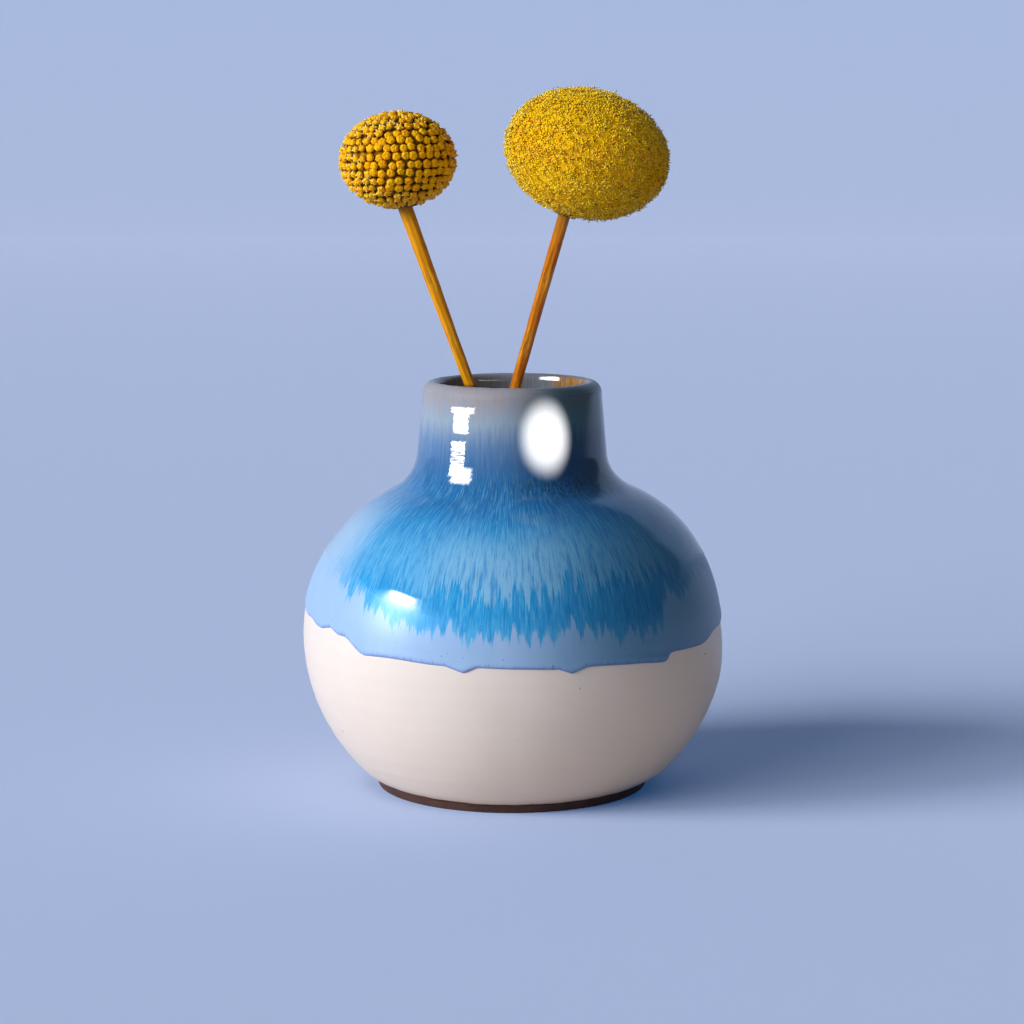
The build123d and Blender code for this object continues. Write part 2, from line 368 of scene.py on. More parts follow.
def cloud_share(angle):
    """0 to 1: how strong the milky band is at an angle, fullest from the front to the right."""
    front = smoothstep(-36, -10, angle) * (1 - smoothstep(42, 60, angle))
    back = smoothstep(110, 150, np.abs(angle))
    return 0.25 + 0.75 * np.maximum(front, back)


def make_coat(name, length, end, offset, back_offset, back_rows):
    """A closed coat of glaze, face then back, with the path distance and height of its points."""
    back_length = length[0] + (end - length[0]) * np.linspace(1, 0, back_rows)[:, None]
    front = turned(length, offset, angles[None, :])
    back = turned(back_length, back_offset, angles[None, :])
    rows = len(length) + back_rows
    vertices = np.concatenate((front, back)).reshape(-1, 3)
    glaze = mesh_of_faces(name, vertices, grid_faces(rows, COLUMNS, close_rows=True).tolist())
    all_length = np.concatenate((length, back_length))
    set_attribute(glaze, "flow", flow(all_length, np.broadcast_to(angles, (rows, COLUMNS))).reshape(-1, 3))
    set_attribute(glaze, "edge", ((all_length - length[0]) / MM).ravel())
    return glaze, all_length, vertices[:, 2].reshape(rows, COLUMNS) / MM


def make_blue_glaze():
    """The second dip: from its ragged lower edge up over the lip and down inside the neck."""
    edge = outline.length_at(glaze_line(angles) * MM)
    end = outline.lengths[-1]
    spacing = np.concatenate((np.full(8, 0.12), np.linspace(0.2, 0.5, 8), np.full(112, 0.55)))
    share = np.append(0, np.cumsum(spacing))
    share = (share / share[-1])[:, None]
    length = edge + (end - edge) * share
    from_edge = (length - edge) / MM
    rounding = np.sqrt(1 - (1 - np.clip(from_edge / 0.4, 0, 1)) ** 2)
    sag = np.clip(30.4 - glaze_line(angles), 0, 1.5)
    bead = (0.04 + 0.06 * sag) * np.exp(-(((from_edge - 0.9) / 0.6) ** 2))
    offset = CREAM_THICKNESS + (BLUE_THICKNESS * rounding + bead * rounding * MM)
    back_offset = CREAM_THICKNESS - COAT_OVERLAP
    glaze, all_length, height = make_coat("blue_glaze_coat", length, end, offset, back_offset, 32)
    inside = smoothstep(outline.crest - 0.6 * MM, outline.crest + 0.9 * MM, all_length)
    milk_line = 43.6 + ripple(angles, (2, 5, 9), (0.8, 0.6, 0.5), 13)
    set_attribute(glaze, "over_fringe", (height - fringe_line(angles)).ravel())
    set_attribute(glaze, "over_milk", (height - milk_line).ravel())
    set_attribute(glaze, "milk", np.broadcast_to(cloud_share(angles), height.shape).ravel())
    set_attribute(glaze, "inside", inside.ravel())
    return glaze


def blue_glaze_material():
    """Glossy blue with a milky band, that ends in streaks over lavender and turns grey at the lip."""
    s = Shader("blue_glaze")
    along = s.attribute("flow", vector=True)
    x, _, z = s.parts(s.place())
    height = s.span(z, 28 * MM, 78 * MM, even=True)
    hair = s.noise(s.scaled(along, (1, 1, 0.09)), 3.0, 3, 0.65)
    strand = s.noise(s.scaled(along, (1, 1, 0.1)), 1.1, 4, 0.6)
    comb = s.noise(s.scaled(along, (1, 1, 0.03)), 0.85, 2, 0.5)
    broad = s.noise(s.scaled(along, (1, 1, 0.5)), 0.2, 3, 0.5)

    # colour by height, from the streaks' lower end to the lip
    level = s.math("ADD", height, s.swing(strand, 0.12))
    deep = s.ramp(
        level,
        [
            (0.12, (0.06, 0.4, 0.8)),
            (0.22, (0.025, 0.34, 0.76)),
            (0.42, (0.035, 0.34, 0.72)),
            (0.51, (0.025, 0.27, 0.62)),
            (0.57, (0.014, 0.17, 0.46)),
            (0.63, (0.016, 0.11, 0.31)),
            (0.7, (0.05, 0.145, 0.35)),
            (0.78, (0.115, 0.215, 0.41)),
            (0.86, (0.29, 0.375, 0.49)),
            (0.95, (0.33, 0.31, 0.34)),
        ],
    )

    # the milky band, fingered below and soft above
    over_milk = s.attribute("over_milk")
    fingers = s.math("ADD", s.swing(comb, 13), s.swing(hair, 8))
    above = s.span(s.math("ADD", over_milk, fingers), -0.8, 1.0)
    below = s.span(s.math("ADD", over_milk, s.swing(strand, 9)), 13, 5)
    milky = s.product(above, below, s.attribute("milk"), s.span(strand, 0.2, 0.5, 0.45, 0.95))
    colour = s.mix(milky, deep, (0.23, 0.5, 0.79))

    # fine pale and dark hairs
    below_neck = s.span(height, 0.6, 0.72, 1.0, 0.22)
    pale = (s.span(hair, 0.46, 0.7, 0.0, 0.55), (0.17, 0.52, 0.85))
    dark = (s.span(hair, 0.52, 0.32, 0.0, 0.6), (0.012, 0.2, 0.56))
    soft = (s.span(strand, 0.5, 0.34, 0.0, 0.45), (0.02, 0.25, 0.64))
    for share, tint in (pale, dark, soft):
        colour = s.mix(s.product(share, below_neck), colour, tint)

    # the lavender band that shows below the streaks' ragged ends
    ragged = s.math("ADD", s.swing(comb, 11), s.swing(hair, 6))
    covered = s.span(s.math("ADD", s.attribute("over_fringe"), ragged), -0.5, 0.5)
    lavender = s.mix(broad, (0.275, 0.46, 0.79), (0.35, 0.53, 0.84))
    colour = s.mix(covered, lavender, colour)
    dots = s.cells(s.scaled(along, (1, 1, 0.8)), 0.9)
    dotted = s.product(s.span(dots, 0.12, 0.06), s.span(broad, 0.5, 0.58))
    colour = s.mix(dotted, colour, (0.03, 0.22, 0.56))

    # a thin line where the glaze pools at its edge, dotted in places
    pooled = s.span(s.math("ADD", s.attribute("edge"), s.swing(strand, 0.8)), 0.7, 0.25, 0.0, 0.8)
    colour = s.mix(pooled, colour, (0.19, 0.32, 0.76))
    beads = s.product(s.span(hair, 0.58, 0.66, 0.0, 0.8), s.span(s.attribute("edge"), 1.1, 0.7))
    colour = s.mix(beads, colour, (0.1, 0.2, 0.52))

    # green-brown specks where the shoulder meets the neck, from the front to the right
    specks = s.noise(s.scaled(along, (1, 1, 0.6)), 1.5, 3, 0.6)
    at_turn = s.product(s.span(height, 0.57, 0.62), s.span(height, 0.69, 0.64))
    to_right = s.span(x, -6 * MM, 8 * MM, 0.2, 0.8)
    speckled = s.product(s.span(specks, 0.46, 0.62), at_turn, to_right)
    colour = s.mix(speckled, colour, (0.02, 0.07, 0.11))

    # a painted highlight: a pale sheen down the far left of the shoulder, where the lit limb mirrors the
    # light
    round_right = s.parts(along)["X"]
    left_limb_sheen = s.product(s.span(round_right, -30, -38.5, 0.0, 0.7), s.span(height, 0.62, 0.45), covered)
    colour = s.mix(left_limb_sheen, colour, (0.42, 0.58, 0.8))

    # painted shade: the glaze is darkened down the right side, away from the key light, most of all at the
    # neck
    right_shade = s.span(round_right, -6, 25, 0.0, 1.0)
    shade = s.mix(below_neck, (0.16, 0.33, 0.42), (0.3, 0.52, 0.62))
    colour = s.mix(right_shade, colour, shade, blend="MULTIPLY")

    # the inside of the neck: slate, breaking to amber on the right
    right = s.span(x, 7 * MM, 9.5 * MM)
    amber_patch = s.product(right, s.span(s.noise(along, 0.35, 4, 0.6), 0.34, 0.46))
    slate = s.mix(strand, (0.07, 0.08, 0.105), (0.23, 0.255, 0.31))
    amber = s.mix(s.span(hair, 0.35, 0.65), (0.16, 0.06, 0.012), (0.62, 0.33, 0.09))
    lining = s.mix(amber_patch, slate, amber)
    colour = s.mix(s.attribute("inside"), colour, lining)

    relief = s.math("ADD", s.product(strand, 0.7), s.product(hair, 0.3))
    normal = s.bump(relief, 0.3, 0.08 * MM)
    satin_lip = s.product(s.span(height, 0.92, 0.98), s.math("SUBTRACT", 1.0, s.attribute("inside")))
    satin = s.math("MAXIMUM", satin_lip, s.span(s.attribute("over_fringe"), 5, 1))
    gloss = s.math("ADD", s.span(broad, 0.3, 0.7, 0.03, 0.05), s.product(satin, 0.32))
    return s.finish(Base_Color=colour, Roughness=gloss, IOR=1.52, Normal=normal)


def make_cream_glaze():
    """The first dip: its lower edge rises from the front to the sides of the foot."""
    top = outline.length_at(38 * MM)
    length = np.concatenate((np.linspace(0, 1.0, 7) * MM, np.linspace(1.5 * MM, top, 72)))[:, None]
    waver = ripple(angles, (5, 11, 23, 41), (0.06, 0.05, 0.05, 0.04), 31) * MM
    sideways = 1 - np.abs(np.cos(np.radians(angles)))
    rise = sideways * np.where(angles < 0, 1.9, 1.6) * MM
    near_foot = 1 - smoothstep(0, 8 * MM, length)
    length = length + waver * (1 - smoothstep(0, 4 * MM, length)) + rise * near_foot + 0.08 * MM
    from_edge = np.arange(len(length))[:, None] / 5
    rounding = np.sqrt(1 - (1 - np.clip(from_edge, 0, 1)) ** 2)
    height = outline.at(length)[1] / MM
    rings = 0.014 * np.sin(height * 1.9 + ripple(angles, (1, 2), (0.8, 0.4), 33))
    rings = rings + 0.008 * np.sin(height * 4.1 + ripple(angles, (1, 3), (1.0, 0.5), 34))
    offset = CREAM_THICKNESS * rounding + rings * smoothstep(3, 7, height) * MM
    return make_coat("cream_glaze_coat", length, top, offset, -COAT_OVERLAP, 16)[0]


def cream_glaze_material():
    """Satin cream, faintly mottled, with a tan rim at the foot and a few iron specks."""
    s = Shader("cream_glaze")
    along = s.attribute("flow", vector=True)
    mottle = s.noise(along, 0.12, 4, 0.55)
    grain = s.noise(along, 2.2, 4, 0.6)
    colour = s.mix(mottle, (0.775, 0.712, 0.695), (0.825, 0.765, 0.75))
    colour = s.mix(s.span(grain, 0.62, 0.75, 0.0, 0.15), colour, (0.64, 0.55, 0.5))
    tan = s.math("ADD", s.attribute("edge"), s.swing(grain, 0.8))
    colour = s.mix(s.span(tan, 2.6, 0.6, 0.0, 0.45), colour, (0.52, 0.4, 0.29))
    colour = s.mix(s.span(tan, 0.75, 0.25), colour, (0.24, 0.14, 0.07))
    specks = s.cells(along, 0.16)
    colour = s.mix(s.span(specks, 0.045, 0.025, 0.0, 0.8), colour, (0.2, 0.11, 0.06))
    # painted shade for bounced light: diffuse rays see the cream darker, so it throws less light on the
    # floor beside it
    bounced = s.ray("Is Diffuse Ray")
    colour = s.mix(s.product(bounced, 0.6), colour, (0.3, 0.28, 0.3))
    pits = s.noise(along, 3.5, 3, 0.6)
    normal = s.bump(s.math("ADD", pits, s.product(mottle, 2.0)), 0.12, 0.05 * MM)
    gloss = s.span(grain, 0.2, 0.8, 0.28, 0.42)
    return s.finish(Base_Color=colour, Roughness=gloss, IOR=1.5, Normal=normal)


def stoneware_material():
    """Dark, iron-rich bare clay with sandy grit."""
    s = Shader("stoneware")
    place = s.place()
    grit = s.noise(place, 2600, 5, 0.65)
    patch = s.noise(place, 300, 3, 0.5)
    colour = s.mix(patch, (0.03, 0.012, 0.01), (0.085, 0.04, 0.03))
    colour = s.mix(s.span(grit, 0.55, 0.75, 0.0, 0.6), colour, (0.16, 0.085, 0.06))
    normal = s.bump(grit, 0.5, 0.12 * MM)
    return s.finish(Base_Color=colour, Roughness=s.span(grit, 0.3, 0.7, 0.65, 0.9), Normal=normal)


def liner_material():
    """Glossy slate glaze that lines the vase, with thin brown breaks."""
    s = Shader("liner_glaze")
    place = s.place()
    drift = s.noise(s.scaled(place, (1, 1, 0.35)), 260, 4, 0.6)
    fine = s.noise(place, 1400, 4, 0.6)
    colour = s.mix(drift, (0.04, 0.048, 0.062), (0.12, 0.14, 0.17))
    colour = s.mix(s.span(fine, 0.6, 0.72, 0.0, 0.6), colour, (0.13, 0.075, 0.035))
    normal = s.bump(drift, 0.2, 0.1 * MM)
    gloss = s.span(fine, 0.3, 0.7, 0.1, 0.2)
    return s.finish(Base_Color=colour, Roughness=gloss, IOR=1.52, Normal=normal)


def give(thing, material):
    """The material goes in every slot of a piece or CAD node."""
    thing.data.materials.clear()
    thing.data.materials.append(material)


def stand_in(thing, material, node, body):
    """The piece, dressed in the material, takes a CAD node's place and body."""
    give(thing, material)
    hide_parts(node)
    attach(thing, body)


stand_in(make_blue_glaze(), blue_glaze_material(), "blue_glaze", "vase")
stand_in(make_cream_glaze(), cream_glaze_material(), "cream_glaze", "vase")
give(frame["nodes"]["clay_body"], stoneware_material())
give(frame["nodes"]["liner_glaze"], liner_material())


# ---- Flowers ----
JOINT_AXES = {joint["child"]: Vector(joint["axis"]).normalized() for joint in frame["joints"]}


def perpendiculars(axis):
    """Two unit vectors square to an axis, the first in the XZ plane."""
    across = np.cross((0, 1, 0), axis)
    across = across / np.linalg.norm(across)
    return across, np.cross(axis, across)


def make_stem(name, node, body, mouth, mouth_radius, top_radius, ribs, seed):
    """A dried stem on the CAD stem's axis, which crosses the mouth at (x, y): ribbed, faintly bent."""
    low, high = (np.array(corner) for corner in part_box(node))
    axis = np.array(JOINT_AXES[body])
    across, through = perpendiculars(axis)
    half = (high[2] - low[2]) / 2 / axis[2] - mouth_radius * abs(axis[0])
    middle_height = (low[2] + high[2]) / 2
    middle = np.array((*mouth, VASE_HEIGHT)) + axis * (middle_height - VASE_HEIGHT) / axis[2]
    along = np.linspace(-half, half, 260)[:, None]
    around = np.linspace(0, 2 * math.pi, 48, endpoint=False)[None, :]
    height = middle_height + along * axis[2]
    taper = smoothstep(VASE_HEIGHT, high[2], height)
    radius = mouth_radius + (top_radius - mouth_radius) * taper
    dice = np.random.default_rng(seed)
    phase = dice.uniform(0, 2 * math.pi, 4)
    twist = along / half * 0.9
    grooves = 0.045 * np.cos(ribs * around + phase[0] + 2 * twist)
    grooves = grooves + 0.022 * np.cos((2 * ribs + 3) * around + phase[1] - 3 * twist)
    swell = 0.03 * np.sin(along / MM * 0.35 + phase[2]) + 0.02 * np.sin(along / MM * 0.9 + phase[3])
    radius = radius * (0.95 + grooves + swell * (1 - np.abs(along) / half))
    bend = 0.12 * MM * np.sin(math.pi * (along / half + 1))
    centre = middle + along[..., None] * axis + bend[..., None] * across
    ring = np.cos(around)[..., None] * across + np.sin(around)[..., None] * through
    side = (centre + radius[..., None] * ring).reshape(-1, 3)
    caps = np.array((centre[0, 0] + axis * 0.12 * MM, centre[-1, 0]))
    vertices = np.concatenate((side, caps))
    faces = grid_faces(len(along), around.size).tolist()
    faces += closing_fans(len(side), len(side) + 1, len(along), around.size)
    stem = mesh_of_faces(name, vertices, faces, sharp_caps=True)
    fibre = np.stack(np.broadcast_arrays(np.cos(around), np.sin(around), along / MM), axis=-1)
    fibre = np.concatenate((fibre.reshape(-1, 3), [(0, 0, -half / MM), (0, 0, half / MM)]))
    set_attribute(stem, "fibre", fibre)
    set_attribute(stem, "below_head", (high[2] - vertices[:, 2]) / MM)
    set_attribute(stem, "below_mouth", (VASE_HEIGHT - vertices[:, 2]) / MM)
    return stem


def stem_material(name, pale, ripe, dark, shadowed_below):
    """Straw-coloured dried stem, streaked along its fibres, with painted shade darkening it below the
    vase's mouth.
    """
    s = Shader(name)
    fibre = s.attribute("fibre", vector=True)
    strands = s.noise(s.scaled(fibre, (1, 1, 0.09)), 2.6, 5, 0.65)
    patches = s.noise(s.scaled(fibre, (0.4, 0.4, 0.12)), 0.9, 3, 0.5)
    nicks = s.noise(s.scaled(fibre, (1.5, 1.5, 0.8)), 2.2, 3, 0.6)
    colour = s.mix(s.span(strands, 0.35, 0.65), dark, pale)
    colour = s.mix(s.span(patches, 0.4, 0.6, 0.15, 0.75), colour, ripe)
    colour = s.mix(s.span(nicks, 0.64, 0.74, 0.0, 0.8), colour, (0.06, 0.022, 0.006))
    green = s.span(s.attribute("below_head"), 7.5, 3.5, 0.0, 0.45)
    colour = s.mix(green, colour, (0.28, 0.18, 0.02))
    # painted shade: the stem is darkened below the mouth, where the vase's rim shades it
    mouth_shadow = s.span(s.attribute("below_mouth"), shadowed_below, shadowed_below + 0.8, 0.0, 0.85)
    colour = s.mix(mouth_shadow, colour, (0.07, 0.028, 0.008))
    normal = s.bump(strands, 0.5, 0.08 * MM)
    gloss = s.span(patches, 0.3, 0.7, 0.38, 0.55)
    return s.finish(Base_Color=colour, Roughness=gloss, Specular_IOR_Level=0.25, Normal=normal)


class Head:
    """The flattened ball that fills the CAD's floret solid, set at a lean in degrees."""

    def __init__(self, node, body, mouth, lean, fullness):
        low, high = (np.array(corner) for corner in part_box(node))
        self.centre = (low + high) / 2
        self.radius = (high[1] - low[1]) / 2 * fullness
        tilt = math.radians(lean)
        self.axis = np.array((math.sin(tilt), 0, math.cos(tilt)))
        self.across, self.through = perpendiculars(self.axis)
        self.basis = np.array((self.across, self.through, self.axis))
        flat = ((high[2] - low[2]) / 2) ** 2 - (self.radius * math.sin(tilt)) ** 2
        self.half_height = math.sqrt(flat) / math.cos(tilt)
        self.mouth = np.array((*mouth, VASE_HEIGHT))
        self.stem_axis = np.array(JOINT_AXES[body])

    def sizes(self, inset):
        return np.array((self.radius, self.radius, self.half_height)) - inset

    def placed(self, unit, inset):
        """Points and normals on the ball sunk by an inset, for unit directions."""
        sizes = self.sizes(inset)
        normal = unit / sizes
        normal = normal / np.linalg.norm(normal, axis=1)[:, None]
        return (unit * sizes) @ self.basis + self.centre, normal @ self.basis

    def spiral(self, count, inset):
        """Spots in the even spiral of a flower head."""
        index = np.arange(count) + 0.5
        rise = 1 - 2 * index / count
        turn = index * math.pi * (3 - math.sqrt(5))
        flat = np.sqrt(1 - rise**2)
        return self.placed(np.column_stack((flat * np.cos(turn), flat * np.sin(turn), rise)), inset)

    def ranks(self, spacing, inset, seed):
        """Spots in level rings, each turned half a step from the last and a little uneven."""
        dice = np.random.default_rng(seed)
        radius, _, half_height = self.sizes(inset)
        rings = round(math.pi * (radius + half_height) / 2 / spacing)
        unit = []
        start = 0.0
        for ring in range(rings):
            latitude = math.pi * ((ring + 0.5) / rings - 0.5)
            count = max(1, round(2 * math.pi * radius * math.cos(latitude) / spacing))
            start += math.pi / count
            turn = start + (np.arange(count) + dice.normal(0, 0.085, count)) * 2 * math.pi / count
            tilted = latitude + dice.normal(0, 0.022, count)
            flat = np.cos(tilted)
            unit.append(np.column_stack((flat * np.cos(turn), flat * np.sin(turn), np.sin(tilted))))
        return self.placed(np.concatenate(unit), inset)

    def clear_of_stem(self, spots, normals, room):
        """The spots that stay a distance away from the stem below the head's middle."""
        away = spots - self.mouth
        beside = away - np.outer(away @ self.stem_axis, self.stem_axis)
        free = (np.linalg.norm(beside, axis=1) > room) | ((spots - self.centre) @ self.axis > 0)
        return spots[free], normals[free]


def lathe(profile, segments):
    """A closed form turned from (radius, height) points that start and end on the axis."""
    radius, height = np.array(profile).T
    turn = np.arange(segments) * 2 * math.pi / segments
    radius, middle = radius[1:-1, None], height[1:-1, None]
    rings = np.stack(np.broadcast_arrays(radius * np.cos(turn), radius * np.sin(turn), middle), axis=-1)
    vertices = np.concatenate((rings.reshape(-1, 3), [(0, 0, height[0]), (0, 0, height[-1])]))
    rows = len(middle)
    faces = [tuple(face) for face in grid_faces(rows, segments).tolist()]
    return vertices, faces + closing_fans(rows * segments, rows * segments + 1, rows, segments)


def bud_template(girth=1.0):
    """A closed floret in mm: a five-lobed knob with a dimpled crown, and its crown share."""
    profile = [(0, -1.5), (0.44, -1.5), (0.58, -0.7), (0.7, -0.1), (0.74, 0.22)]
    profile += [(0.66, 0.52), (0.43, 0.7), (0.18, 0.7), (0, 0.58)]
    vertices, faces = lathe(profile, 15)
    turn = np.arctan2(vertices[:, 1], vertices[:, 0])
    crown = smoothstep(-0.3, 0.6, vertices[:, 2])
    lobes = np.cos(5 * turn) * crown
    vertices[:, :2] *= (girth + 0.08 * lobes)[:, None]
    vertices[:, 2] += 0.07 * lobes * (np.hypot(vertices[:, 0], vertices[:, 1]) > 0.1)
    return vertices, faces, crown


def spike_template(length, width, spread, curl):
    """A closed, three-sided petal in mm that leans out and curls, and its points' nearness to the tip."""
    stations = ((0.0, 1.0), (0.55, 0.85), (1.0, 0.0))
    vertices = []
    tips = []
    for share, fullness in stations:
        lean = spread + curl * share
        centre = np.array((math.sin(lean) * share * length + 0.12, 0, math.cos(lean) * share * length))
        half = width / 2 * fullness
        if fullness == 0:
            vertices.append(centre)
            tips.append(share)
            continue
        inward = np.array((-math.cos(lean), 0, math.sin(lean))) * half * 0.6
        vertices += [centre + (0, -half, 0), centre + (0, half, 0), centre + inward]
        tips += [share] * 3
    faces = [(0, 2, 1), (0, 1, 4, 3), (1, 2, 5, 4), (2, 0, 3, 5), (3, 4, 6), (4, 5, 6), (5, 3, 6)]
    return np.array(vertices), faces, np.array(tips)


def petals(dice, lengths, widths, spreads, curls):
    """Five uneven petals in mm about an axis, as (vertices, faces, tip shares)."""
    vertices, faces, tips = [], [], []
    for petal in range(5):
        sizes = [dice.uniform(*limits) for limits in (lengths, widths, spreads, curls)]
        shape, petal_faces, tip = spike_template(*sizes)
        turn = 2 * math.pi * (petal + dice.uniform(-0.2, 0.2)) / 5
        cos, sin = math.cos(turn), math.sin(turn)
        spin = np.array(((cos, sin, 0), (-sin, cos, 0), (0, 0, 1)))
        faces += [tuple(petal * len(shape) + k for k in face) for face in petal_faces]
        vertices.append(shape @ spin)
        tips.append(tip)
    return np.concatenate(vertices), faces, np.concatenate(tips)


def joined(first, second):
    """Two (vertices, faces, kinds) templates as one."""
    faces = first[1] + [tuple(len(first[0]) + k for k in face) for face in second[1]]
    return np.concatenate((first[0], second[0])), faces, np.concatenate((first[2], second[2]))


def opened_bud_template(seed):
    """A floret in mm that has begun to open: a slim knob under five short pale petals."""
    dice = np.random.default_rng(seed)
    points, faces, tips = petals(dice, (0.7, 1.05), (0.36, 0.55), (0.4, 1.1), (0.2, 1.0))
    return joined(bud_template(0.94), (points + (0, 0, 0.35), faces, 1 + tips))


def open_petals(seed, paleness=1.0):
    """An open floret's five curling petals in mm, palest at the tips where frost is over 1."""
    dice = np.random.default_rng(seed)
    points, faces, tips = petals(dice, (0.55, 1.0), (0.22, 0.34), (0.2, 0.9), (0.3, 1.5))
    return points, faces, tips * paleness


def flower_template(seed):
    """An open floret in mm with its short column, of kind 2, showing among the petals."""
    opened = open_petals(seed)
    column, faces = lathe([(0, -0.3), (0.16, -0.3), (0.16, 0.3), (0.1, 0.44), (0, 0.48)], 5)
    return joined(opened, (column, faces, np.full(len(column), 2.0)))


def scatter(name, spots, normals, templates, seed, size_spread, tilt):
    """One mesh with a template from each spot's own list, spun and sized at random."""
    dice = np.random.default_rng(seed)
    all_vertices, all_faces, kinds, shades = [], [], [], []
    first = 0
    for spot, normal, choices in zip(spots, normals, templates):
        shape, faces, kind = choices[dice.integers(len(choices))]
        up = normal + dice.normal(0, tilt, 3)
        up = up / np.linalg.norm(up)
        side = np.cross(up, dice.normal(0, 1, 3))
        side = side / np.linalg.norm(side)
        basis = np.array((side, np.cross(up, side), up))
        size = 1 + dice.uniform(-size_spread, size_spread)
        all_vertices.append(shape * size * MM @ basis + spot)
        all_faces += [tuple(first + k for k in face) for face in faces]
        kinds.append(kind)
        shades.append(np.full(len(shape), dice.uniform()))
        first += len(shape)
    thing = mesh_of_faces(name, np.concatenate(all_vertices), all_faces)
    set_attribute(thing, "kind", np.concatenate(kinds))
    set_attribute(thing, "shade", np.concatenate(shades))
    return thing


def bud_material():
    """Golden knobs with pale crowns, dark brown at their roots as painted shade in the gaps between them,
    and straw-pale petals where they open.
    """
    s = Shader("closed_florets")
    kind = s.attribute("kind")
    shade = s.attribute("shade")
    grain = s.noise(s.place(), 2600, 4, 0.6)
    gold = s.mix(shade, (0.9, 0.4, 0.002), (1.0, 0.56, 0.004))
    # painted shade: each knob's root is dark brown, darkening the gaps between knobs
    colour = s.mix(s.span(kind, 0.15, 0.9), (0.13, 0.045, 0.003), gold)
    colour = s.mix(s.span(grain, 0.5, 0.68, 0.0, 0.45), colour, (1.0, 0.76, 0.12))
    colour = s.mix(s.span(grain, 0.46, 0.34, 0.0, 0.45), colour, (0.42, 0.19, 0.006))
    straw = s.mix(shade, (0.98, 0.74, 0.1), (1.0, 0.87, 0.38))
    colour = s.mix(s.span(kind, 1.05, 1.7), colour, straw)
    normal = s.bump(grain, 0.5, 0.12 * MM)
    return s.finish(Base_Color=colour, Roughness=0.75, Specular_IOR_Level=0.1, Normal=normal)


def open_floret_material():
    """Yellow petals with straw tips, and orange columns in the band about the head's middle."""
    s = Shader("open_florets")
    kind = s.attribute("kind")
    shade = s.attribute("shade")
    grain = s.noise(s.place(), 1500, 3, 0.6)
    broad = s.noise(s.place(), 170, 3, 0.5)
    base = s.mix(broad, (1.0, 0.6, 0.002), (1.0, 0.76, 0.006))
    tip = s.mix(shade, (1.0, 0.76, 0.02), (1.0, 0.9, 0.24))
    petal = s.mix(s.span(kind, 0.3, 1.0), base, tip)
    # near-white tips on the rim florets: partly pale tips, partly painted sheen
    petal = s.mix(s.span(kind, 1.0, 1.3), petal, (1.0, 0.92, 0.62))
    petal = s.mix(s.span(grain, 0.45, 0.35, 0.0, 0.3), petal, (0.64, 0.34, 0.006))
    column = s.mix(s.span(shade, 0.6, 0.62), (1.0, 0.62, 0.004), (0.95, 0.33, 0.002))
    colour = s.mix(s.span(kind, 1.4, 1.6), petal, column)
    return s.finish(Base_Color=colour, Roughness=0.8, Specular_IOR_Level=0.1)


def core_material(name, pit, chaff):
    """The chaff in the gaps between florets, from its pits to its scales."""
    s = Shader(name)
    grain = s.noise(s.place(), 900, 4, 0.6)
    colour = s.mix(s.span(grain, 0.35, 0.65), pit, chaff)
    return s.finish(Base_Color=colour, Roughness=0.9, Normal=s.bump(grain, 0.6, 0.2 * MM))


def receptacle_material():
    """Dry brown pith."""
    s = Shader("receptacle")
    grain = s.noise(s.place(), 1800, 4, 0.6)
    colour = s.mix(grain, (0.1, 0.045, 0.012), (0.26, 0.14, 0.045))
    return s.finish(Base_Color=colour, Roughness=0.85, Normal=s.bump(grain, 0.5, 0.1 * MM))


LEFT_MOUTH = (-8.0 * MM, 0.5 * MM)
RIGHT_MOUTH = (0.87 * MM, -3.0 * MM)

left_stem = make_stem(
    "left_ribbed_stem", "left_stem", "left_flower", LEFT_MOUTH, 1.05 * MM, 1.4 * MM, ribs=7, seed=41
)
amber_stem = stem_material(
    "left_stem", (0.95, 0.48, 0.015), (0.76, 0.31, 0.004), (0.36, 0.11, 0.003), 0.0
)
stand_in(left_stem, amber_stem, "left_stem", "left_flower")

right_stem = make_stem(
    "right_ribbed_stem", "right_stem", "right_flower", RIGHT_MOUTH, 1.03 * MM, 1.15 * MM, ribs=6, seed=42
)
russet_stem = stem_material(
    "right_stem", (0.96, 0.43, 0.03), (0.52, 0.14, 0.003), (0.17, 0.038, 0.002), 1.8
)
stand_in(right_stem, russet_stem, "right_stem", "right_flower")

pith = receptacle_material()
give(frame["nodes"]["left_receptacle"], pith)
give(frame["nodes"]["right_receptacle"], pith)


def place_core(name, head, inset, material, body, rows=40, columns=72):
    """The ball of chaff under a head's florets, closed all round."""
    rise = np.linspace(-math.pi / 2, math.pi / 2, rows + 2)
    unit, faces = lathe(np.column_stack((np.cos(rise), np.sin(rise))), columns)
    core = mesh_of_faces(name, unit * head.sizes(inset) @ head.basis + head.centre, faces)
    give(core, material)
    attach(core, body)


CLOSED_PATCH = np.array((0.3, -0.95, 0.05))
CLOSED_PATCH_EDGE = 0.66

left_head = Head("left_florets", "left_flower", LEFT_MOUTH, lean=-2.0, fullness=1.0)
spots, normals = left_head.ranks(1.62 * MM, 0.75 * MM, seed=50)
spots, normals = left_head.clear_of_stem(spots, normals, 2.0 * MM)
closed = [bud_template(1.05)]
opening = [opened_bud_template(seed) for seed in range(70, 76)]
left_templates = [closed if normal @ CLOSED_PATCH > CLOSED_PATCH_EDGE else opening for normal in normals]
left_buds = scatter("left_closed_florets", spots, normals, left_templates, 51, size_spread=0.1, tilt=0.08)
stand_in(left_buds, bud_material(), "left_florets", "left_flower")
brown = core_material("left_core", (0.24, 0.09, 0.003), (0.56, 0.28, 0.01))
place_core("left_floret_core", left_head, 1.2 * MM, brown, "left_flower")

COLUMN_BAND = 0.42
COLUMNS_FACE_FRONT = 0.35
PLAIN_FACE_FRONT = 0.4

